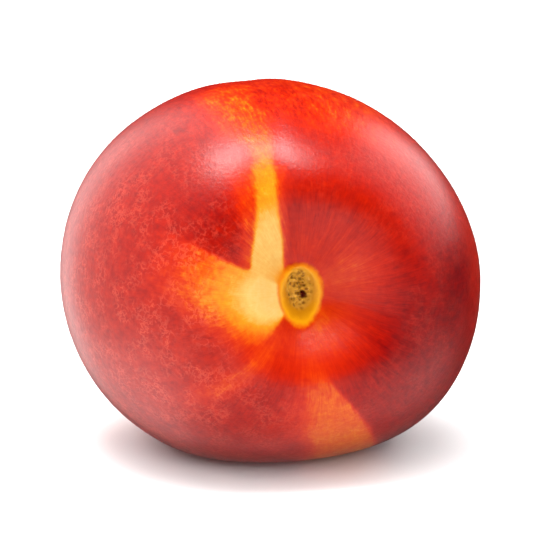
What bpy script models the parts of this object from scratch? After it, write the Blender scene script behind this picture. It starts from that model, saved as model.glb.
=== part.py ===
"""A ripe nectarine lying on its side, as one closed solid in metres, +Z up.

The fruit is a ball whose points are moved out or in to the radius that a
nectarine has in their direction. A direction is given by two angles: the
"fall" from the stem, 0 at the stem scar and 180 degrees at the blossom end,
and the "turn" around the stem, 0 at the top and growing clockwise for someone
who looks at the stem end. The ball is then turned into its lying place and its
underside is pressed flat where it rests.
"""

import math

import bmesh
import bpy
import numpy as np
from mathutils import Matrix

MM = 0.001

# The body, in millimetres from the centre of the fruit
CHEEK_RADIUS = 34.6
SEAM_RADIUS = 31.8
STEM_RADIUS = 35.0
BLOSSOM_RADIUS = 32.5
FULLNESS = 2.12  # exponent of the body's outline: 2 is an ellipse, more is squarer
CHEEK_TURN = math.radians(6.8)
# Slow waves around the body: number of waves, height, turn of the first crest
BODY_WAVES = (
    (1, 0.66, math.radians(-146)),
    (3, 0.48, math.radians(-12)),
    (4, 0.35, math.radians(14)),
)
# A fuller place low on its right
SWELLING_HEIGHT = 1.4
SWELLING_TURN = math.radians(138)
SWELLING_WIDTH = math.radians(22)

# The hollow around the stem scar
HOLLOW_DEPTH = 10.2
HOLLOW_SPREAD = math.radians(20.6)
HOLLOW_LEAN = math.radians(2.3)  # how much wider it is on its open side
HOLLOW_OPEN_TURN = math.radians(-10)
HOLLOW_POWER = 3.4  # more makes its floor flatter and its wall steeper
# A bay low on its right and the straighter bank under it: spread, middle turn, half width
HOLLOW_WAVES = (
    (math.radians(2.3), math.radians(112), math.radians(24)),
    (math.radians(-0.6), math.radians(165), math.radians(28)),
)

# The stem scar: a raised oval ring, narrower below, around a sunken pit
RING_RIGHT = -0.6
RING_HALF_WIDTH = 3.8
RING_HALF_HEIGHT = 5.1
RING_TAPER = 0.12
RING_HEIGHT = 0.35
PIT_HALF_WIDTH = 2.25
PIT_HALF_HEIGHT = 3.3
PIT_RISE = 1.0  # how far the pit's middle lies above the ring's
PIT_DEPTH = 0.8

# The seam, a groove from the hollow over the top to the blossom end
SEAM_TURN_AT_STEM = math.radians(-28)
SEAM_TURN_AT_TIP = math.radians(-5)
SEAM_BEND_FALL = math.radians(39.5)
SEAM_BEND_POWER = 2.0
SEAM_DEPTH = 0.4
SEAM_CLEFT_DEPTH = 1.9  # further depth where the seam cuts the hollow's rim
SEAM_CLEFT_FALL = math.radians(25)
SEAM_CLEFT_SPREAD = math.radians(12)
SEAM_START_FALL = math.radians(12)
SEAM_TIP_DEPTH = 0.7  # further depth towards the blossom end
SEAM_TIP_SPREAD = math.radians(34)
SEAM_LEFT_WIDTH = 5.4
SEAM_RIGHT_WIDTH = 3.2

# The dimple at the blossom end
DIMPLE_DEPTH = 2.0
DIMPLE_SPREAD = math.radians(13)

# How it lies: the stem points nearly level, a little to the right of -Y
STEM_YAW = math.radians(12.5)
STEM_RISE = math.radians(3.3)
PRESSED_DEPTH = 2.8  # height of the round underside that the flat spot takes away
PRESSED_SOFTNESS = 2.0  # half the height over which the flat spot runs into the sides

# The mesh
MERIDIANS = 72
RINGS = 50
RING_CROWDING = 0.29  # rings gather at both ends, where the shape is finest

SKIN_COLOUR = (0.62, 0.045, 0.035, 1.0)
SKIN_ROUGHNESS = 0.38


def clear_scene():
    for old in list(bpy.data.objects):
        bpy.data.objects.remove(old, do_unlink=True)


def wrapped(angle):
    """The same angle between -180 and 180 degrees."""
    return np.arctan2(np.sin(angle), np.cos(angle))


def body_radius(fall, turn):
    """Radius of the round body, with no hollow, seam or dimple, in millimetres."""
    length = np.where(fall < math.pi / 2, STEM_RADIUS, BLOSSOM_RADIUS)
    around = turn - CHEEK_TURN
    to_seam = np.abs(np.sin(fall) * np.cos(around)) / SEAM_RADIUS
    to_cheek = np.abs(np.sin(fall) * np.sin(around)) / CHEEK_RADIUS
    to_end = np.abs(np.cos(fall)) / length
    total = to_seam**FULLNESS + to_cheek**FULLNESS + to_end**FULLNESS
    radius = total ** (-1 / FULLNESS)
    for count, height, crest in BODY_WAVES:
        radius = radius + height * np.sin(fall) ** 2 * np.cos(count * (turn - crest))
    swelling = np.exp(-((wrapped(turn - SWELLING_TURN) / SWELLING_WIDTH) ** 2))
    return radius + SWELLING_HEIGHT * np.sin(fall) ** 2 * swelling


def hollow_depth(fall, turn):
    spread = HOLLOW_SPREAD + HOLLOW_LEAN * np.cos(turn - HOLLOW_OPEN_TURN)
    for height, middle, width in HOLLOW_WAVES:
        spread = spread + height * np.exp(-((wrapped(turn - middle) / width) ** 2))
    return HOLLOW_DEPTH * np.exp(-((fall / spread) ** HOLLOW_POWER))


def seam_turn(fall):
    """Turn of the seam's line at each fall: it leaves the stem bent to one side."""
    bend = np.exp(-((fall / SEAM_BEND_FALL) ** SEAM_BEND_POWER))
    return SEAM_TURN_AT_TIP + (SEAM_TURN_AT_STEM - SEAM_TURN_AT_TIP) * bend


def seam_depth(fall, turn, radius):
    across = wrapped(turn - seam_turn(fall)) * radius * np.sin(fall)
    width = np.where(across > 0, SEAM_RIGHT_WIDTH, SEAM_LEFT_WIDTH)
    cleft = np.exp(-(((fall - SEAM_CLEFT_FALL) / SEAM_CLEFT_SPREAD) ** 2))
    tip = np.exp(-(((math.pi - fall) / SEAM_TIP_SPREAD) ** 2))
    start = 1 - np.exp(-((fall / SEAM_START_FALL) ** 4))
    depth = (SEAM_DEPTH + SEAM_CLEFT_DEPTH * cleft + SEAM_TIP_DEPTH * tip) * start
    return depth * np.exp(-((across / width) ** 2))


def dimple_depth(fall):
    return DIMPLE_DEPTH * np.exp(-(((math.pi - fall) / DIMPLE_SPREAD) ** 2))


def scar_relief(fall, turn, radius):
    """Height of the scar's ring, less the depth of its pit."""
    out = radius * np.sin(fall)
    right = out * np.sin(turn) - RING_RIGHT
    up = out * np.cos(turn)
    half_width = RING_HALF_WIDTH * (1 + RING_TAPER * np.clip(up / RING_HALF_HEIGHT, -1, 1))
    ring_share = np.hypot(right / half_width, up / RING_HALF_HEIGHT)
    pit_share = np.hypot(right / PIT_HALF_WIDTH, (up - PIT_RISE) / PIT_HALF_HEIGHT)
    ring = RING_HEIGHT * np.exp(-(((ring_share - 0.78) / 0.2) ** 2))
    pit = PIT_DEPTH * np.exp(-((pit_share / 0.9) ** 4))
    return np.where(fall < math.pi / 3, ring - pit, 0.0)


def fruit_radius(fall, turn):
    radius = body_radius(fall, turn)
    radius = radius - hollow_depth(fall, turn)
    radius = radius - seam_depth(fall, turn, radius)
    radius = radius + scar_relief(fall, turn, radius)
    return radius - dimple_depth(fall)


def press_flat(height):
    """Heights above the lowest point, pressed to a flat spot with a soft edge."""
    above = height - PRESSED_DEPTH
    soft = (above + PRESSED_SOFTNESS) ** 2 / (4 * PRESSED_SOFTNESS)
    pressed = np.where(above > PRESSED_SOFTNESS, above, soft)
    return np.where(above < -PRESSED_SOFTNESS, 0.0, pressed)


def shape_fruit(ball):
    """Fruit points in millimetres for the points of a unit ball, stem towards +Z."""
    steps = np.arccos(np.clip(ball[:, 2], -1, 1))
    fall = steps - RING_CROWDING * np.sin(2 * steps)
    turn = np.arctan2(ball[:, 0], ball[:, 1])
    directions = np.stack(
        (np.sin(fall) * np.sin(turn), np.sin(fall) * np.cos(turn), np.cos(fall)), axis=1
    )
    return directions * fruit_radius(fall, turn)[:, None]


def lay_down(points):
    """Turns the stem from +Z to its lying direction and sets the fruit on z = 0."""
    tip_over = Matrix.Rotation(math.pi / 2 - STEM_RISE, 3, "X")
    lying = np.array(Matrix.Rotation(STEM_YAW, 3, "Z") @ tip_over)
    points = points @ lying.T
    points[:, 2] = press_flat(points[:, 2] - points[:, 2].min())
    middle = (points[:, :2].min(axis=0) + points[:, :2].max(axis=0)) / 2
    points[:, :2] -= middle
    return points


def make_skin_material():
    material = bpy.data.materials.new("skin")
    material.use_nodes = True
    shader = material.node_tree.nodes["Principled BSDF"]
    shader.inputs["Base Color"].default_value = SKIN_COLOUR
    shader.inputs["Roughness"].default_value = SKIN_ROUGHNESS
    shader.inputs["Metallic"].default_value = 0.0
    return material


def make_nectarine(collection):
    mesh = bpy.data.meshes.new("nectarine")
    ball = bmesh.new()
    bmesh.ops.create_uvsphere(ball, u_segments=MERIDIANS, v_segments=RINGS, radius=1.0)
    ball.to_mesh(mesh)
    ball.free()
    points = np.empty(len(mesh.vertices) * 3)
    mesh.vertices.foreach_get("co", points)
    points = lay_down(shape_fruit(points.reshape(-1, 3))) * MM
    mesh.vertices.foreach_set("co", points.ravel())
    mesh.shade_smooth()
    mesh.materials.append(make_skin_material())
    mesh.update()
    collection.objects.link(bpy.data.objects.new("nectarine", mesh))


def main():
    clear_scene()
    collection = bpy.data.collections.new("nectarine_parts")
    bpy.context.scene.collection.children.link(collection)
    make_nectarine(collection)


main()
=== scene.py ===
"""The finished look of a nectarine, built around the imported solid.

The skin is one dense mesh with the solid's own shape formula and the fine
relief that the solid leaves out. Its colours come from one field, the blush,
which runs from pale yellow at 0 to dark crimson at 1. A place on the fruit is
given by two angles: the "fall" from the stem, 0 at the stem scar and 180
degrees at the blossom end, and the "turn" around the stem, 0 at the top and
growing clockwise for someone who looks at the stem end.
"""

import math

import bmesh
import bpy
import numpy as np
from mathutils import Matrix, Vector


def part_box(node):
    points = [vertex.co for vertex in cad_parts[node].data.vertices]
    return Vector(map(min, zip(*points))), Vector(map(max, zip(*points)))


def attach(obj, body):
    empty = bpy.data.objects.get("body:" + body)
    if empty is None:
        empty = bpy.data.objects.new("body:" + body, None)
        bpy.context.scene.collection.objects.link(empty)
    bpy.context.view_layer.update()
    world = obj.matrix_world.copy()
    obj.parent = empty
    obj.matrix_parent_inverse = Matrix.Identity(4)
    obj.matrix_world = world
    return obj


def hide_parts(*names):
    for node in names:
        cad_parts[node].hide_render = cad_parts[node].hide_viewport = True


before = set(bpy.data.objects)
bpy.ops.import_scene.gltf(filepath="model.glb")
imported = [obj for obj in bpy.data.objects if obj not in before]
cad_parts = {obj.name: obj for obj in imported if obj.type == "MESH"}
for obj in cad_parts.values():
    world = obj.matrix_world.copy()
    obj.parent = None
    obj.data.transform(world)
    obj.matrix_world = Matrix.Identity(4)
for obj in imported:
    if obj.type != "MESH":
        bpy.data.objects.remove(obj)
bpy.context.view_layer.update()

MM = 0.001
NODE = "nectarine"

# The body, in millimetres from the centre of the fruit
CHEEK_RADIUS = 34.6
SEAM_RADIUS = 31.8
STEM_RADIUS = 35.0
BLOSSOM_RADIUS = 32.5
FULLNESS = 2.12  # exponent of the body's outline: 2 is an ellipse, more is squarer
CHEEK_TURN = math.radians(6.8)
# Slow waves around the body: number of waves, height, turn of the first crest
BODY_WAVES = (
    (1, 0.66, math.radians(-146)),
    (3, 0.48, math.radians(-12)),
    (4, 0.35, math.radians(14)),
)
# A fuller place low on its right
SWELLING_HEIGHT = 1.4
SWELLING_TURN = math.radians(138)
SWELLING_WIDTH = math.radians(22)

# The hollow around the stem scar
HOLLOW_DEPTH = 10.2
HOLLOW_SPREAD = math.radians(20.6)
HOLLOW_LEAN = math.radians(2.3)  # how much wider it is on its open side
HOLLOW_OPEN_TURN = math.radians(-10)
HOLLOW_POWER = 3.4  # more makes its floor flatter and its wall steeper
# A bay low on its right and the straighter bank under it: spread, middle turn, half width
HOLLOW_WAVES = (
    (math.radians(2.3), math.radians(112), math.radians(24)),
    (math.radians(-0.6), math.radians(165), math.radians(28)),
)

# The seam, a groove from the hollow over the top to the blossom end
SEAM_TURN_AT_STEM = math.radians(-28)
SEAM_TURN_AT_TIP = math.radians(-5)
SEAM_BEND_FALL = math.radians(39.5)
SEAM_BEND_POWER = 2.0
SEAM_DEPTH = 0.4
SEAM_CLEFT_DEPTH = 1.9  # further depth where the seam cuts the hollow's rim
SEAM_CLEFT_FALL = math.radians(25)
SEAM_CLEFT_SPREAD = math.radians(12)
SEAM_START_FALL = math.radians(12)
SEAM_START_POWER = 4
SEAM_TIP_DEPTH = 0.7  # further depth towards the blossom end
SEAM_TIP_SPREAD = math.radians(34)
SEAM_LEFT_WIDTH = 5.4
SEAM_RIGHT_WIDTH = 3.2

# The dimple at the blossom end
DIMPLE_DEPTH = 2.0
DIMPLE_SPREAD = math.radians(13)

# How it lies: the stem points nearly level, a little to the right of -Y
STEM_YAW = math.radians(12.5)
STEM_RISE = math.radians(3.3)
PRESSED_DEPTH = 2.8  # height of the round underside that the flat spot takes away
PRESSED_SOFTNESS = 2.0  # half the height over which the flat spot runs into the sides

# The mesh: 320 by 296 gives 188,800 triangles
MERIDIANS = 320
RINGS = 296
RING_CROWDING = 0.28  # rings gather at both ends, where the shape is finest

# The stem scar: a raised oval ring around a sunken, corky pit
RING_RIGHT = -0.6  # how far right of the stem's axis the scar's middle lies
RING_HALF_WIDTH = 3.8
RING_HALF_HEIGHT = 5.1
RING_TAPER = 0.12  # how much wider it is above and narrower below
RING_HEIGHT = 0.35
RING_CREST = 0.78  # where its crest lies, as a share of the way out to its edge
RING_CREST_SPREAD = 0.2
CREASE_PLACE = 1.06  # a faint crease outside the ring, as a share of the same way
CREASE_DEPTH = 0.08
CREASE_WIDTH = 0.4
PIT_HALF_WIDTH = 2.25
PIT_HALF_HEIGHT = 3.3
PIT_RISE = 1.0  # how far the pit's middle lies above the ring's
PIT_DEPTH = 0.8
PIT_WALL = (0.7, 1.1)  # where its wall starts and ends, as shares of its half widths
CORK_HEIGHT = 0.35
HOLE_RIGHT = 0.75  # the one large hole in the pit's cork
HOLE_UP = -0.15
HOLE_HALF_WIDTH = 0.45
HOLE_HALF_HEIGHT = 0.6
HOLE_DEPTH = 0.5
SCAR_REACH = math.radians(60)  # the whole scar lies within this fall
FAR_OUTSIDE = 9.0  # the share of a half width that stands for every place beyond it
SMOOTH_AROUND_SCAR = (1.0, 2.0)  # the skin's waves fade in between these shares of the ring

# Uneven waves over the skin: seed, number of waves, their size in radians
SLOW_WAVES = (3, 24, 0.34)
QUICK_WAVES = (5, 40, 0.09)
CORK_WAVES = (8, 40, 0.011)
SLOW_HEIGHT = 0.09
QUICK_HEIGHT = 0.018

# Faint folds that run out of the hollow: how many go round, their height, their start
PLEATS = (
    (9, 0.022, 1.0),
    (16, 0.0176, 2.2),
    (27, 0.011, 0.4),
    (47, 0.005, 0.5),
    (61, 0.005, 2.0),
    (74, 0.005, 4.0),
)
PLEAT_FALL = math.radians(19)
PLEAT_SPREAD = math.radians(9)


# ---------------------------------------------------------------- shape

def wrapped(angle):
    """The same angle between -180 and 180 degrees."""
    return np.arctan2(np.sin(angle), np.cos(angle))


def body_radius(fall, turn):
    """Radius of the round body, with no hollow, seam or dimple, in millimetres."""
    length = np.where(fall < math.pi / 2, STEM_RADIUS, BLOSSOM_RADIUS)
    around = turn - CHEEK_TURN
    to_seam = np.abs(np.sin(fall) * np.cos(around)) / SEAM_RADIUS
    to_cheek = np.abs(np.sin(fall) * np.sin(around)) / CHEEK_RADIUS
    to_end = np.abs(np.cos(fall)) / length
    total = to_seam**FULLNESS + to_cheek**FULLNESS + to_end**FULLNESS
    radius = total ** (-1 / FULLNESS)
    for count, height, crest in BODY_WAVES:
        radius = radius + height * np.sin(fall) ** 2 * np.cos(count * (turn - crest))
    swelling = np.exp(-((wrapped(turn - SWELLING_TURN) / SWELLING_WIDTH) ** 2))
    return radius + SWELLING_HEIGHT * np.sin(fall) ** 2 * swelling


def hollow_depth(fall, turn):
    spread = HOLLOW_SPREAD + HOLLOW_LEAN * np.cos(turn - HOLLOW_OPEN_TURN)
    for height, middle, width in HOLLOW_WAVES:
        spread = spread + height * np.exp(-((wrapped(turn - middle) / width) ** 2))
    return HOLLOW_DEPTH * np.exp(-((fall / spread) ** HOLLOW_POWER))


def seam_turn(fall):
    """Turn of the seam's line at each fall: it leaves the stem bent to one side."""
    bend = np.exp(-((fall / SEAM_BEND_FALL) ** SEAM_BEND_POWER))
    return SEAM_TURN_AT_TIP + (SEAM_TURN_AT_STEM - SEAM_TURN_AT_TIP) * bend


def seam_depth(fall, turn, radius):
    across = wrapped(turn - seam_turn(fall)) * radius * np.sin(fall)
    width = np.where(across > 0, SEAM_RIGHT_WIDTH, SEAM_LEFT_WIDTH)
    cleft = np.exp(-(((fall - SEAM_CLEFT_FALL) / SEAM_CLEFT_SPREAD) ** 2))
    tip = np.exp(-(((math.pi - fall) / SEAM_TIP_SPREAD) ** 2))
    start = 1 - np.exp(-((fall / SEAM_START_FALL) ** SEAM_START_POWER))
    depth = (SEAM_DEPTH + SEAM_CLEFT_DEPTH * cleft + SEAM_TIP_DEPTH * tip) * start
    return depth * np.exp(-((across / width) ** 2))


def dimple_depth(fall):
    return DIMPLE_DEPTH * np.exp(-(((math.pi - fall) / DIMPLE_SPREAD) ** 2))


def fruit_radius(fall, turn):
    radius = body_radius(fall, turn)
    radius = radius - hollow_depth(fall, turn)
    radius = radius - seam_depth(fall, turn, radius)
    return radius - dimple_depth(fall)


def press_flat(height):
    """Heights above the lowest point, pressed to a flat spot with a soft edge."""
    above = height - PRESSED_DEPTH
    soft = (above + PRESSED_SOFTNESS) ** 2 / (4 * PRESSED_SOFTNESS)
    pressed = np.where(above > PRESSED_SOFTNESS, above, soft)
    return np.where(above < -PRESSED_SOFTNESS, 0.0, pressed)


# ---------------------------------------------------------------- fine relief

def smooth_step(value, low, high):
    """0 up to the low value and 1 from the high one."""
    share = np.clip((value - low) / (high - low), 0, 1)
    return share * share * (3 - 2 * share)


def hump(value, middle, width):
    """1 at the middle, fading to 0 on both sides."""
    return np.exp(-(((value - middle) / width) ** 2))


def ripples(directions, seed, count, size):
    """Even, unrepeating waves over the ball of directions: about -1 to 1, size in radians."""
    source = np.random.default_rng(seed)
    waves = source.normal(size=(count, 3)) / size
    phases = source.uniform(0, 2 * math.pi, count)
    return np.sin(directions @ waves.T + phases).sum(axis=1) / math.sqrt(count)


def scar_shares(fall, turn, radius):
    """How far out a point is, as a share of the ring's, the pit's and the hole's half widths."""
    out = radius * np.sin(fall)
    right = out * np.sin(turn) - RING_RIGHT
    up = out * np.cos(turn)
    half_width = RING_HALF_WIDTH * (1 + RING_TAPER * np.clip(up / RING_HALF_HEIGHT, -1, 1))
    ring_share = np.hypot(right / half_width, up / RING_HALF_HEIGHT)
    pit_share = np.hypot(right / PIT_HALF_WIDTH, (up - PIT_RISE) / PIT_HALF_HEIGHT)
    hole_share = np.hypot((right - HOLE_RIGHT) / HOLE_HALF_WIDTH, (up - HOLE_UP) / HOLE_HALF_HEIGHT)
    shares = (ring_share, pit_share, hole_share)
    return [np.where(fall < SCAR_REACH, share, FAR_OUTSIDE) for share in shares]


def scar_relief(shares, corky):
    """Height of the scar's ring, less its crease, its pit and the hole."""
    ring_share, pit_share, hole_share = shares
    ring = RING_HEIGHT * hump(ring_share, RING_CREST, RING_CREST_SPREAD)
    crease = CREASE_DEPTH * hump(ring_share, CREASE_PLACE, CREASE_WIDTH / RING_HALF_WIDTH)
    pit = (1 - smooth_step(pit_share, *PIT_WALL)) * (PIT_DEPTH - CORK_HEIGHT * corky)
    return ring - crease - pit - HOLE_DEPTH * hump(hole_share, 0, 1)


def pleats(fall, turn):
    waves = sum(height * np.sin(count * turn + start) for count, height, start in PLEATS)
    return waves * hump(fall, PLEAT_FALL, PLEAT_SPREAD)


def fine_relief(fall, turn, directions, shares):
    slow = SLOW_HEIGHT * ripples(directions, *SLOW_WAVES)
    quick = QUICK_HEIGHT * ripples(directions, *QUICK_WAVES)
    corky = ripples(directions, *CORK_WAVES)
    ring_share = shares[0]
    outside = smooth_step(ring_share, *SMOOTH_AROUND_SCAR)
    return (slow + quick + pleats(fall, turn)) * outside + scar_relief(shares, corky)


# ---------------------------------------------------------------- the skin mesh

def make_ball():
    mesh = bpy.data.meshes.new("nectarine_skin")
    ball = bmesh.new()
    bmesh.ops.create_uvsphere(ball, u_segments=MERIDIANS, v_segments=RINGS, radius=1.0)
    ball.to_mesh(mesh)
    ball.free()
    return mesh


def ball_angles(mesh):
    """Fall and turn of the ball's points, with its rings gathered at both ends."""
    points = np.empty(len(mesh.vertices) * 3)
    mesh.vertices.foreach_get("co", points)
    points = points.reshape(-1, 3)
    steps = np.arccos(np.clip(points[:, 2], -1, 1))
    fall = steps - RING_CROWDING * np.sin(2 * steps)
    turn = np.arctan2(points[:, 0], points[:, 1])
    return fall, turn


def lay_down(points):
    """Turns the stem from +Z to its lying direction and sets the fruit in the solid's box."""
    tip_over = Matrix.Rotation(math.pi / 2 - STEM_RISE, 3, "X")
    lying = np.array(Matrix.Rotation(STEM_YAW, 3, "Z") @ tip_over)
    points = points @ lying.T
    points[:, 2] = press_flat(points[:, 2] - points[:, 2].min())
    low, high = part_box(NODE)
    middle = (points.min(axis=0) + points.max(axis=0)) / 2
    points[:, 0] += (low.x + high.x) / 2 / MM - middle[0]
    points[:, 1] += (low.y + high.y) / 2 / MM - middle[1]
    points[:, 2] += low.z / MM
    return points


def shape_skin(mesh, fall, turn, radius, shares):
    """Moves the ball's points out to the fruit's surface."""
    directions = np.stack(
        (np.sin(fall) * np.sin(turn), np.sin(fall) * np.cos(turn), np.cos(fall)), axis=1
    )
    relief = fine_relief(fall, turn, directions, shares)
    points = lay_down(directions * (radius + relief)[:, None]) * MM
    mesh.vertices.foreach_set("co", points.ravel())
    mesh.shade_smooth()
    mesh.update()


def add_numbers(mesh, name, values):
    attribute = mesh.attributes.new(name, "FLOAT", "POINT")
    attribute.data.foreach_set("value", values.astype(np.float32))


def add_vectors(mesh, name, values):
    attribute = mesh.attributes.new(name, "FLOAT_VECTOR", "POINT")
    attribute.data.foreach_set("vector", values.astype(np.float32).ravel())


def mark_skin(mesh, fall, turn, shares):
    """Gives each point what the material reads: its colours, its place and its growth."""
    colour = blush(fall, turn)
    add_numbers(mesh, "blush", colour)
    add_numbers(mesh, "fray", fray(fall, turn, colour))
    add_numbers(mesh, "lace", lace(fall, turn))
    for name, share in zip(("ring_share", "pit_share", "hole_share"), shares):
        add_numbers(mesh, name, share)
    # Its first two numbers go round the stem and its third runs along the growth
    add_vectors(mesh, "growth", np.stack((np.sin(turn), np.cos(turn), fall), axis=1))


def make_skin():
    mesh = make_ball()
    fall, turn = ball_angles(mesh)
    radius = fruit_radius(fall, turn)
    shares = scar_shares(fall, turn, radius)
    shape_skin(mesh, fall, turn, radius, shares)
    mark_skin(mesh, fall, turn, shares)
    skin = bpy.data.objects.new("nectarine_skin", mesh)
    bpy.context.scene.collection.objects.link(skin)
    return skin


# ---------------------------------------------------------------- where the colours lie
#
# Every angle in this section is in degrees: f is a place's fall and t its turn.
# A row of numbers lays one soft shape over the skin. It starts with how much redder that
# makes the skin, or paler if it is negative, and the shape's middle turn and half width.
# A stripe, which runs from the stem to the blossom end, has only these.
# An outer stripe also has the fall where it starts, and how soft its start is.
# A spot also has its middle fall, and its half width along the fall.

CHEEK_RED = 0.72
CHEEK_STRIPES_AND_SHADE = (
    # The first row, the darker right cheek, is partly the skin's own deeper red and partly painted
    # shade from a neighbouring fruit.
    (0.18, 115, 52),
    (0.05, -40, 25),
    (-0.05, -105, 28),
    (0.05, -152, 13),
)
CHEEK_OUTER_STRIPES_AND_SHADE = (
    # The first row is painted shade: a redder top right, where the fruit above it cast shade.
    (0.08, 50, 14, 68, 5),
    (-0.14, 88, 24, 56, 3),
)
CHEEK_SPOTS = (
    (0.12, 80, 16, 47, 10),
    (0.05, 102, 14, 42, 9),
    (-0.05, 52, 14, 50, 10),
    (0.09, -47, 13, 34, 9),
)
STEM_RED = 0.62
STEM_STRIPES = ((-0.14, 62, 26),)
STEM_SPOTS = ((-0.20, 155, 48, 10, 7),)
# The stem's red turns into the cheeks' between these falls
RED_CHANGE_FALLS = (17, 29)
# Low on the right it does so this much sooner, between two turns and with a softness
SOONER = 1.5
SOONER_TURNS = (80, 150, 7)
# Paler places on the hollow's lower rim
RIM_SPOTS = (
    (-0.12, -135, 14, 20, 8),
    (-0.16, 180, 16, 32, 12),
)

# The light streak low on the left: its turn at the stem, and how far it bends over which falls
STREAK_TURN = -138
STREAK_BEND = 8
STREAK_BEND_FALLS = (12, 50)
STREAK_PALER = 0.24
STREAK_HALF_WIDTH = 5.5
STREAK_FALL = 33
STREAK_LENGTH = 11

# The pale patch left of the scar
PATCH_FALL = 22.6  # how far out it reaches at its widest
PATCH_WIDEST_TURN = -72
PATCH_NARROWING = 10 / 58**2  # 58 degrees of turn from there, it reaches 10 less
PATCH_NOTCH = 2.5  # how much less it reaches beside the seam
PATCH_NOTCH_TURN = -62
PATCH_NOTCH_WIDTH = 14
PATCH_EDGE_BLUSH = 0.15
PATCH_PALEST = 0.06
PATCH_SLOPE = 0.03  # blush for each degree of fall
TRAIL_SLOPE = 0.021  # the same past its edge, where the orange trail leaves it
LOW_SLOPE = 0.049  # the same past its edge, below the trail
TRAIL_END_TURNS = (-82, -110)  # the trail fades out between these turns
PATCH_LOWER_TURN = -134
PATCH_UPPER_TURN = -62.5
PATCH_INNER_UPPER_TURN = -50.5  # the same, nearer to the scar than the next fall
PATCH_INNER_FALL = 20.3

# The pale band along the seam
BAND_APEX_FALL = 20.5  # where it parts from the patch
BAND_LEFT = 9.0  # from the seam's line to its left edge
BAND_RIGHT = 1.4  # from the seam's line to its right edge
BAND_FLARE = 30  # how much further left it reaches up to the apex
BAND_FLARE_LENGTH = 5
BAND_FLARE_POWER = 1.1
BAND_TOP_LEFT_TURN = -25  # its edges over the top
BAND_TOP_RIGHT_TURN = -8
BAND_TOP_FALL = 50  # past this it is softer, and its left edge no longer follows the seam
BAND_END_FALL = 86
BAND_BLUSH = 0.10
# How much redder it gets past which fall, and how softly
BAND_STEPS = (
    (0.12, 29, 3),
    (0.13, 41, 3),
    (0.09, 50, 3),
)
FRINGE_BLUSH = 0.44
FRINGE_SHARE = 0.85

# The orange-red over the top, right of the seam and then along it: two turns and a softness
TOP_BLUSH = 0.51
TOP_TURNS = (4, 38, 9)
TOP_START_FALL = 51
TOP_SEAM_BLUSH = 0.60
TOP_SEAM_TURNS = (-8, 4, 3)
TOP_SEAM_START_FALL = 56
TOP_END_FALL = 112

# The orange wedge under the stem. Its right edge has the lower turn
WEDGE_BLUSH = 0.38
WEDGE_RIGHT_TURN = 152
WEDGE_LEFT_TURN = 184
WEDGE_FALLS = (22, 82)
WEDGE_POINT = 20  # how much less it reaches to the right at its upper end
WEDGE_POINT_LENGTH = 12
WEDGE_DRAW_IN = 8  # how much less it reaches to the left, low down
WEDGE_WAVE = 2
WEDGE_WAVE_LENGTH = 8

# A fine lighter line up from the ring
LINE_SPOTS = ((-0.07, -2, 1.2, 19, 6),)

# Yellow-orange clouds towards the blossom end
FAR_CLOUDS = (
    (-0.34, -115, 45, 128, 24),
    (-0.30, 60, 38, 142, 20),
    (-0.22, 165, 30, 112, 18),
)
TIP_PALER = 0.18
TIP_SPREAD = 14

# How far streaks break the colours up. These rows say how much more, not how much redder
FRAY = 0.16
FRAY_SPOTS = (
    (0.20, -45, 12, 27, 6),
    (0.08, -150, 16, 30, 14),
)
FRAY_OUTER_STRIPES = ((0.45, 4, 36, 57, 5),)
FRAY_LOST_IN_PALE = 0.7


def step_at(value, edge, width):
    """0 below the edge and 1 above it."""
    return 0.5 + 0.5 * np.tanh((value - edge) / width)


def between(value, low, high, width):
    """1 between two edges and 0 outside them."""
    return step_at(value, low, width) * (1 - step_at(value, high, width))


def turn_hump(t, middle, width):
    """1 at one turn, fading to both sides."""
    return hump((t - middle + 180) % 360 - 180, 0, width)


def lay(base, value, share):
    """The base, or the value where the share is 1."""
    return base + (value - base) * share


def stripes(t, rows):
    return sum(more * turn_hump(t, turn, width) for more, turn, width in rows)


def outer_stripes(f, t, rows):
    total = 0
    for more, turn, width, start, softness in rows:
        total = total + more * turn_hump(t, turn, width) * step_at(f, start, softness)
    return total


def spots(f, t, rows):
    total = 0
    for more, turn, turn_width, fall, fall_width in rows:
        total = total + more * turn_hump(t, turn, turn_width) * hump(f, fall, fall_width)
    return total


def red_blush(f, t):
    """The red of the cheeks, orange-red close to the stem scar, with some painted shade on the
    right cheek and the top right.
    """
    cheek = CHEEK_RED + stripes(t, CHEEK_STRIPES_AND_SHADE)
    cheek = cheek + outer_stripes(f, t, CHEEK_OUTER_STRIPES_AND_SHADE) + spots(f, t, CHEEK_SPOTS)
    stem = STEM_RED + stripes(t, STEM_STRIPES) + spots(f, t, STEM_SPOTS)
    sooner = SOONER * between(t, *SOONER_TURNS)
    red = lay(stem, cheek, smooth_step(f + sooner, *RED_CHANGE_FALLS))
    return red + spots(f, t, RIM_SPOTS)


def lay_streak(b, f, t):
    """The light streak that runs down to the left."""
    middle = STREAK_TURN + STREAK_BEND * smooth_step(f, *STREAK_BEND_FALLS)
    inside = turn_hump(t, middle, STREAK_HALF_WIDTH) * hump(f, STREAK_FALL, STREAK_LENGTH)
    return b - STREAK_PALER * inside


def lay_top(b, f, t):
    """The bright orange-red right of the seam, over the top."""
    before_end = 1 - step_at(f, TOP_END_FALL, 8)
    right_side = between(t, *TOP_TURNS) * step_at(f, TOP_START_FALL, 3)
    b = lay(b, TOP_BLUSH, right_side * before_end)
    along_seam = between(t, *TOP_SEAM_TURNS) * step_at(f, TOP_SEAM_START_FALL, 5)
    return lay(b, TOP_SEAM_BLUSH, along_seam * before_end)


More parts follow.
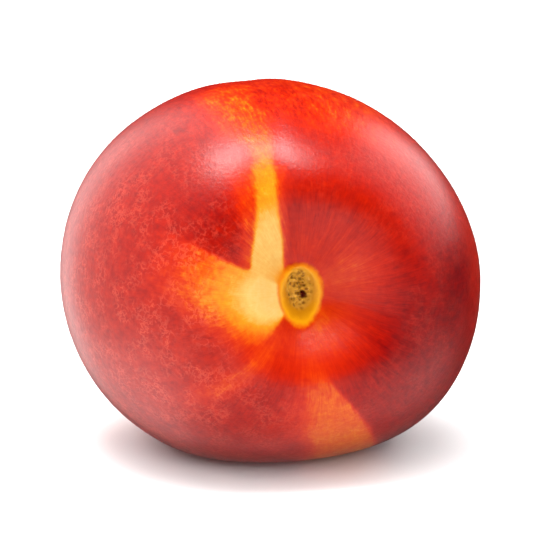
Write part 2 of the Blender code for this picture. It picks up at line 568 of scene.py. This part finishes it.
def lay_wedge(b, f, t):
    """The orange wedge under the stem: a point at its upper end, and wider below."""
    around = t % 360
    start, end = WEDGE_FALLS
    right = WEDGE_RIGHT_TURN + WEDGE_POINT * np.exp((20 - f) / WEDGE_POINT_LENGTH)
    left = WEDGE_LEFT_TURN + WEDGE_WAVE * np.sin(f / WEDGE_WAVE_LENGTH)
    left = left - WEDGE_DRAW_IN * step_at(f, 46, 4)
    inside = step_at(around, right, 1.0) * (1 - step_at(around, left, 4.0))
    inside = inside * step_at(f, start, 3) * (1 - step_at(f, end, 6))
    paler_low_down = 0.03 * hump(f, 48, 8) + 0.08 * step_at(f, 60, 6)
    return lay(b, WEDGE_BLUSH - paler_low_down, inside)


def lay_patch(b, f, t):
    """The pale patch left of the scar and the orange trail that leaves it."""
    edge = PATCH_FALL - PATCH_NARROWING * (t - PATCH_WIDEST_TURN) ** 2
    edge = edge - PATCH_NOTCH * turn_hump(t, PATCH_NOTCH_TURN, PATCH_NOTCH_WIDTH)
    past_edge = f - edge
    outer_slope = lay(TRAIL_SLOPE, LOW_SLOPE, smooth_step(t, *TRAIL_END_TURNS))
    slope = np.where(past_edge > 0, outer_slope, PATCH_SLOPE)
    patch = np.maximum(PATCH_PALEST, PATCH_EDGE_BLUSH + slope * past_edge)
    outer = step_at(f, PATCH_INNER_FALL, 0.5)
    upper_edge = lay(PATCH_INNER_UPPER_TURN, PATCH_UPPER_TURN, outer)
    inside = step_at(t, PATCH_LOWER_TURN, 3) * (1 - step_at(t, upper_edge, 1.1))
    return lay(b, np.minimum(b, patch), inside)


def band_edges(f, seam_t):
    """Turns of the band's left and right edges."""
    past_apex = np.maximum(f - BAND_APEX_FALL, 0) / BAND_FLARE_LENGTH
    left = seam_t - BAND_LEFT - BAND_FLARE * np.exp(-(past_apex**BAND_FLARE_POWER))
    left = lay(left, BAND_TOP_LEFT_TURN, step_at(f, BAND_TOP_FALL, 3))
    beside_scar = 20 * hump(f, 7, 7)
    right = seam_t + BAND_RIGHT - beside_scar
    right = lay(right, BAND_TOP_RIGHT_TURN, step_at(f, 55, 4))
    return left, right


def lay_fringe(b, f, t, left, right):
    """An orange fringe on both sides of the band, in the hollow and just past it."""
    beside_left = hump(t, left - 4, 8) * step_at(f, BAND_APEX_FALL, 0.6)
    beside_right = hump(t, right + 1, 4) * (f < 40)
    beside = np.clip(beside_left + beside_right, 0, 1) * (1 - step_at(f, 44, 4))
    return lay(b, np.minimum(b, FRINGE_BLUSH), FRINGE_SHARE * beside)


def lay_band(b, f, t, left, right):
    """The pale band along the seam."""
    beside_scar = 0.12 * hump(f, 10, 4)
    further_out = sum(more * step_at(f, fall, width) for more, fall, width in BAND_STEPS)
    colour = BAND_BLUSH + beside_scar + further_out
    softness = 1.6 + 1.2 * hump(f, 12, 5) + 1.0 * step_at(f, BAND_TOP_FALL, 3)
    inside = step_at(t, left, softness) * (1 - step_at(t, right, softness * 0.75))
    return lay(b, colour, inside * (1 - step_at(f, BAND_END_FALL, 6)))


def blush(fall, turn):
    """The blush from 0, pale yellow, to 1, dark crimson."""
    f = np.degrees(fall)
    t = np.degrees(turn)
    left, right = band_edges(f, np.degrees(seam_turn(fall)))
    b = red_blush(f, t)
    b = lay_streak(b, f, t)
    b = lay_top(b, f, t)
    b = lay_wedge(b, f, t)
    b = lay_patch(b, f, t)
    b = lay_fringe(b, f, t, left, right)
    b = lay_band(b, f, t, left, right)
    b = b + spots(f, t, LINE_SPOTS) + spots(f, t, FAR_CLOUDS)
    return b - TIP_PALER * hump(f, 180, TIP_SPREAD)


def fray(fall, turn, colour):
    """How far streaks break the blush up: most in the hollow and over the top."""
    f = np.degrees(fall)
    t = np.degrees(turn)
    rim = 0.10 * hump(f, 27, 7)
    right_wall = 0.14 * between(t, -20, 145, 12) * hump(f, 20, 9)
    left_rim = 0.04 * between(t, -115, -60, 8) * hump(f, 37, 12)
    more = spots(f, t, FRAY_SPOTS) + outer_stripes(f, t, FRAY_OUTER_STRIPES)
    pale = 1 - smooth_step(colour, 0.2, 0.5)
    return (FRAY + rim + right_wall + left_rim + more) * (1 - FRAY_LOST_IN_PALE * pale)


def lace(fall, turn):
    """How strong the pale, lace-like mottling is: most on the left cheek."""
    f = np.degrees(fall)
    t = np.degrees(turn)
    left_cheek = 0.25 + 0.75 * turn_hump(t, -100, 55)
    off_the_seam = 1 - 0.7 * turn_hump(t, -10, 22)
    return left_cheek * step_at(f, 27, 5) * off_the_seam


# ---------------------------------------------------------------- materials

def srgb(red, green, blue):
    """A colour given as 0-255 display values, as the linear values that shaders take."""
    values = []
    for level in (red, green, blue):
        share = level / 255
        values.append(share / 12.92 if share <= 0.04045 else ((share + 0.055) / 1.055) ** 2.4)
    return (*values, 1.0)


BLUSH_COLOURS = (
    (0.00, srgb(204, 176, 112)),
    (0.08, srgb(202, 162, 84)),
    (0.19, srgb(197, 126, 18)),
    (0.34, srgb(188, 78, 3)),
    (0.46, srgb(178, 43, 2)),
    (0.58, srgb(166, 26, 1)),
    (0.70, srgb(149, 16, 1)),
    (0.80, srgb(135, 9, 1)),
    (0.92, srgb(113, 2, 2)),
    (1.00, srgb(92, 0, 4)),
)
CURL_COLOUR = srgb(228, 112, 90)
# The scar's ring, by the share of the way out to its edge
RING_COLOURS = (
    (0.45, srgb(158, 96, 6)),
    (0.64, srgb(172, 108, 3)),
    (0.82, srgb(198, 132, 6)),
    (0.95, srgb(196, 104, 4)),
)
CORK_COLOUR = srgb(188, 134, 44)
SMALL_HOLE_COLOUR = srgb(112, 66, 12)
LARGE_HOLE_COLOUR = srgb(70, 12, 3)

# How fine the noises are: the streaks' for the three numbers of growth, the rest for a metre
WIDE_STREAKS = (24.0, 24.0, 9.0)
THIN_STREAKS = (68.0, 68.0, 20.0)
MOTTLE_SCALE = 900.0
CURL_SCALE = 980.0
CLUMP_SCALE = 260.0
SMALL_HOLE_SCALE = 1150.0
GRAIN_SCALE = 1300.0

CURL_HALF_WIDTH = 0.085  # how far from its middle value the noise still draws a curl
CURL_PALER = 0.07
CURL_SHARE = 0.20
MOTTLE_BLUSH = 0.22  # how far the mottling changes the blush
MOTTLE_BLUSH_IN_LACE = 0.20  # how much further where the lace is strongest
EDGE_WOBBLE = 0.18  # how far the mottling moves the edges of the scar
ROUGHNESS = 0.31
ROUGHNESS_RANGE = 0.12
SKIN_IOR = 1.45
GRAIN_DEPTH = 0.00004
STREAKS_IN_GRAIN = 0.3
WHITE = (1.0, 1.0, 1.0, 1.0)


class Nodes:
    """Short names for the shader nodes used here."""

    def __init__(self, owner):
        owner.use_nodes = True
        self.tree = owner.node_tree
        self.shader = self.tree.nodes.get("Principled BSDF")

    def add(self, kind):
        return self.tree.nodes.new(kind)

    def put(self, socket, value):
        """Feeds a socket from another one, or sets it to a plain value."""
        if isinstance(value, bpy.types.NodeSocket):
            self.tree.links.new(value, socket)
        else:
            socket.default_value = value

    def attribute(self, name, output="Fac"):
        node = self.add("ShaderNodeAttribute")
        node.attribute_name = name
        return node.outputs[output]

    def math(self, operation, first, second=0.0):
        node = self.add("ShaderNodeMath")
        node.operation = operation
        self.put(node.inputs[0], first)
        self.put(node.inputs[1], second)
        return node.outputs[0]

    def plus(self, first, second):
        return self.math("ADD", first, second)

    def minus(self, first, second):
        return self.math("SUBTRACT", first, second)

    def times(self, first, second):
        return self.math("MULTIPLY", first, second)

    def spread(self, value, low, high, to_low=0.0, to_high=1.0):
        """A soft step from one value at the low end to another at the high end."""
        node = self.add("ShaderNodeMapRange")
        node.interpolation_type = "SMOOTHSTEP"
        self.put(node.inputs["Value"], value)
        self.put(node.inputs["From Min"], low)
        self.put(node.inputs["From Max"], high)
        self.put(node.inputs["To Min"], to_low)
        self.put(node.inputs["To Max"], to_high)
        return node.outputs["Result"]

    def stretched(self, vector, scale):
        node = self.add("ShaderNodeVectorMath")
        node.operation = "MULTIPLY"
        self.put(node.inputs[0], vector)
        self.put(node.inputs[1], scale)
        return node.outputs["Vector"]

    def noise(self, vector, scale, detail=2.0, roughness=0.6):
        node = self.add("ShaderNodeTexNoise")
        self.put(node.inputs["Vector"], vector)
        self.put(node.inputs["Scale"], scale)
        self.put(node.inputs["Detail"], detail)
        self.put(node.inputs["Roughness"], roughness)
        return node.outputs["Fac"]

    def cells(self, vector, scale):
        node = self.add("ShaderNodeTexVoronoi")
        self.put(node.inputs["Vector"], vector)
        self.put(node.inputs["Scale"], scale)
        return node.outputs["Distance"]

    def ramp(self, value, stops):
        node = self.add("ShaderNodeValToRGB")
        elements = node.color_ramp.elements
        while len(elements) < len(stops):
            elements.new(1.0)
        for element, (place, colour) in zip(elements, stops):
            element.position = place
            element.color = colour
        self.put(node.inputs["Fac"], value)
        return node.outputs["Color"]

    def greys(self, value, stops):
        return self.ramp(value, [(place, (grey, grey, grey, 1.0)) for place, grey in stops])

    def mix(self, share, first, second):
        node = self.add("ShaderNodeMix")
        node.data_type = "RGBA"
        self.put(node.inputs["Factor"], share)
        self.put(node.inputs["A"], first)
        self.put(node.inputs["B"], second)
        return node.outputs["Result"]

    def bump(self, height, distance):
        node = self.add("ShaderNodeBump")
        self.put(node.inputs["Height"], height)
        self.put(node.inputs["Distance"], distance)
        return node.outputs["Normal"]


def growth_streaks(n):
    """Wide and thin streaks along the growth, each a noise around 0.5."""
    growth = n.attribute("growth", "Vector")
    wide = n.noise(n.stretched(growth, WIDE_STREAKS), 1.0, 3.0)
    thin = n.noise(n.stretched(growth, THIN_STREAKS), 1.0)
    return wide, thin


def pale_curls(n, place):
    """Thin pale lines in clumps, where a noise passes its middle value."""
    curls = n.math("ABSOLUTE", n.minus(n.noise(place, CURL_SCALE), 0.5))
    curls = n.spread(curls, 0.0, CURL_HALF_WIDTH, 1.0, 0.0)
    clumps = n.spread(n.noise(place, CLUMP_SCALE, roughness=0.5), 0.36, 0.62)
    return n.times(n.times(curls, clumps), n.attribute("lace"))


def skin_colour(n, streaks, mottle, curls):
    """The blush as a colour, broken up by streaks, mottling and curls."""
    calm_blush = n.attribute("blush")
    blush_now = n.plus(calm_blush, n.times(streaks, n.attribute("fray")))
    patchy = n.plus(n.times(n.attribute("lace"), MOTTLE_BLUSH_IN_LACE), MOTTLE_BLUSH)
    less_in_pale = n.spread(calm_blush, 0.1, 0.4, 0.4, 1.0)
    blush_now = n.plus(blush_now, n.times(mottle, n.times(patchy, less_in_pale)))
    blush_now = n.minus(blush_now, n.times(curls, CURL_PALER))
    return n.mix(n.times(curls, CURL_SHARE), n.ramp(blush_now, BLUSH_COLOURS), CURL_COLOUR)


def cork_colour(n, place, wobble):
    """Brown cork with many small holes and a large one."""
    off_small_holes = n.spread(n.cells(place, SMALL_HOLE_SCALE), 0.1, 0.62)
    cork = n.mix(off_small_holes, SMALL_HOLE_COLOUR, CORK_COLOUR)
    off_large_hole = n.spread(n.plus(n.attribute("hole_share"), wobble), 0.8, 1.5)
    return n.mix(off_large_hole, LARGE_HOLE_COLOUR, cork)


def scar_colour(n, place, wobble, ring_share):
    """The corky pit and the yellow ring around it."""
    off_pit = n.spread(n.plus(n.attribute("pit_share"), wobble), 0.8, 1.15)
    return n.mix(off_pit, cork_colour(n, place, wobble), n.ramp(ring_share, RING_COLOURS))


def make_skin_material():
    material = bpy.data.materials.new("nectarine_skin")
    n = Nodes(material)
    place = n.add("ShaderNodeTexCoord").outputs["Object"]
    wide, thin = growth_streaks(n)
    streaks = n.minus(n.plus(wide, thin), 1.0)
    mottle = n.minus(n.noise(place, MOTTLE_SCALE), 0.5)
    skin = skin_colour(n, streaks, mottle, pale_curls(n, place))
    wobble = n.times(mottle, EDGE_WOBBLE)
    ring_share = n.plus(n.attribute("ring_share"), wobble)
    scar = scar_colour(n, place, wobble, ring_share)
    off_scar = n.spread(ring_share, 0.90, 1.08)
    grain = n.plus(n.noise(place, GRAIN_SCALE), n.times(thin, STREAKS_IN_GRAIN))
    n.put(n.shader.inputs["Base Color"], n.mix(off_scar, scar, skin))
    n.put(n.shader.inputs["Roughness"], n.plus(n.times(mottle, ROUGHNESS_RANGE), ROUGHNESS))
    n.put(n.shader.inputs["IOR"], SKIN_IOR)
    n.put(n.shader.inputs["Normal"], n.bump(grain, GRAIN_DEPTH))
    return material


# ---------------------------------------------------------------- stage, light and camera

# Brightness against the direction round the horizon, from 0 to 1:
# 0 and 1 are the left, 0.25 the front, 0.5 the right and 0.75 the back
LEFT_CARD = (
    (0.00, 0.70),
    (0.06, 0.55),
    (0.12, 0.18),
    (0.20, 0.0),
    (0.785, 0.0),
    (0.80, 0.5),
    (0.815, 1.1),
    (0.84, 1.45),
    (0.87, 1.2),
    (0.90, 1.0),
    (0.94, 0.85),
    (1.00, 0.70),
)
RIGHT_CARD = (
    (0.46, 0.0),
    (0.50, 0.25),
    (0.54, 0.6),
    (0.58, 1.2),
    (0.61, 1.8),
    (0.64, 2.1),
    (0.67, 2.2),
    (0.69, 0.0),
)
# The floor's brightness in a reflection, by the same directions
FLOOR_SIDES = (
    (0.00, 1.0),
    (0.05, 0.85),
    (0.083, 0.5),
    (0.139, 0.16),
    (0.19, 0.0),
    (0.25, 0.03),
    (0.31, 0.12),
    (0.42, 0.16),
    (0.53, 0.35),
    (0.583, 0.28),
    (0.64, 0.06),
    (0.80, 0.06),
    (0.86, 0.5),
    (0.92, 0.78),
    (1.00, 1.0),
)
# The same, by how far it is below the horizon: 0 is level and 1 straight down
FLOOR_GLOW = (
    (0.20, 0.0),
    (0.35, 0.25),
    (0.55, 1.9),
    (0.82, 1.9),
    (0.92, 0.6),
    (1.00, 0.25),
)
# The cards' ends, by a direction's height: 1 is straight up, 0 level and -1 straight down
CARDS_FOOT = (-0.6, -0.3)
RIGHT_CARD_FOOT = (0.06, 0.24)
RIGHT_CARD_SLANT = 3.0  # how fast its top gets lower towards the back
RIGHT_CARD_TOP = (2.45, 2.65)  # where its top fades, as the height and the slant's part
SIDELESS = (0.85, 0.97)  # between these depths the floor loses the sides' brightness
WORLD_STRENGTH = 1.35

FLOOR_HALF_SIDE = 3.0
FLOOR_COLOUR = (0.8, 0.8, 0.8, 1.0)
FLOOR_ROUGHNESS = 0.9

# Name, width, depth, place, what it points at, power, whether it shows in the gloss
PANELS = (
    ("overhead", 0.26, 0.24, (-0.13, -0.04, 0.63), (-0.13, -0.04, 0.03), 2.4, True),
    ("overhead_edge", 0.20, 0.24, (0.10, -0.04, 0.63), (0.09, -0.04, 0.03), 0.9, True),
    ("overhead_fill", 1.8, 1.8, (0.0, -0.15, 0.64), (0, -0.15, 0.03), 22.5, False),
    ("fill", 0.5, 0.5, (0.3, -0.75, 0.25), (0, 0, 0.03), 3.5, False),
)

CAMERA_RISE = math.radians(13)
CAMERA_DISTANCE = 0.6
AIM_BELOW_MIDDLE = 0.001
VIEW_WIDTH = 0.090  # at the fruit's middle
SENSOR_WIDTH = 36


def make_floor():
    """A pale floor that stays out of reflections, where the world stands in for it."""
    mesh = bpy.data.meshes.new("floor")
    board = bmesh.new()
    bmesh.ops.create_grid(board, x_segments=1, y_segments=1, size=FLOOR_HALF_SIDE)
    board.to_mesh(mesh)
    board.free()
    floor = bpy.data.objects.new("floor", mesh)
    bpy.context.scene.collection.objects.link(floor)
    material = bpy.data.materials.new("floor")
    n = Nodes(material)
    n.put(n.shader.inputs["Base Color"], FLOOR_COLOUR)
    n.put(n.shader.inputs["Roughness"], FLOOR_ROUGHNESS)
    mesh.materials.append(material)
    floor.visible_glossy = False


def card_light(n, height, place):
    """Cards to the left and to the right, with dark gaps in front and behind."""
    lean = n.plus(height, n.times(place, RIGHT_CARD_SLANT))
    top = n.spread(lean, *RIGHT_CARD_TOP, 1.0, 0.0)
    window = n.times(n.spread(height, *RIGHT_CARD_FOOT), top)
    right = n.times(n.greys(place, RIGHT_CARD), window)
    cards = n.plus(n.greys(place, LEFT_CARD), right)
    return n.times(cards, n.spread(height, *CARDS_FOOT))


def floor_light(n, height, place):
    """What a reflection shows in place of the floor."""
    depth = n.times(height, -1.0)
    sides = n.mix(n.spread(depth, *SIDELESS), n.greys(place, FLOOR_SIDES), WHITE)
    return n.times(n.greys(depth, FLOOR_GLOW), sides)


def make_world():
    """Soft light from the cards and from the floor's stand-in, on white for the camera."""
    world = bpy.data.worlds.new("studio")
    bpy.context.scene.world = world
    n = Nodes(world)
    split = n.add("ShaderNodeSeparateXYZ")
    n.put(split.inputs[0], n.add("ShaderNodeTexCoord").outputs["Generated"])
    height = split.outputs["Z"]
    round_it = n.math("ARCTAN2", split.outputs["Y"], split.outputs["X"])
    place = n.plus(n.times(round_it, 0.5 / math.pi), 0.5)
    light = n.plus(card_light(n, height, place), floor_light(n, height, place))
    seen = n.add("ShaderNodeLightPath").outputs["Is Camera Ray"]
    background = n.tree.nodes["Background"]
    n.put(background.inputs["Color"], n.mix(seen, light, WHITE))
    n.put(background.inputs["Strength"], WORLD_STRENGTH)


def turn_towards(holder, aim):
    """Points a lamp or a camera at a place."""
    way = Vector(aim) - holder.location
    holder.rotation_euler = way.to_track_quat("-Z", "Y").to_euler()


def add_panel(name, width, depth, place, aim, power, glossy):
    lamp = bpy.data.lights.new(name, "AREA")
    lamp.shape = "RECTANGLE"
    lamp.size = width
    lamp.size_y = depth
    lamp.energy = power
    # Otherwise some of its light still shows in the gloss
    lamp.cycles.use_multiple_importance_sampling = glossy
    holder = bpy.data.objects.new(name, lamp)
    holder.location = place
    turn_towards(holder, aim)
    holder.visible_glossy = glossy
    bpy.context.scene.collection.objects.link(holder)


def make_camera():
    camera = bpy.data.cameras.new("camera")
    camera.sensor_width = SENSOR_WIDTH
    camera.lens = SENSOR_WIDTH * CAMERA_DISTANCE / VIEW_WIDTH
    holder = bpy.data.objects.new("camera", camera)
    bpy.context.scene.collection.objects.link(holder)
    bpy.context.scene.camera = holder
    low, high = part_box(NODE)
    aim = Vector((0, 0, (low.z + high.z) / 2 - AIM_BELOW_MIDDLE))
    back = Vector((0, -math.cos(CAMERA_RISE), math.sin(CAMERA_RISE)))
    holder.location = aim + CAMERA_DISTANCE * back
    turn_towards(holder, aim)


make_camera()
make_floor()
make_world()
for panel in PANELS:
    add_panel(*panel)
bpy.context.scene.view_settings.view_transform = "Standard"

skin = make_skin()
skin.data.materials.append(make_skin_material())
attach(skin, "root")
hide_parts(NODE)
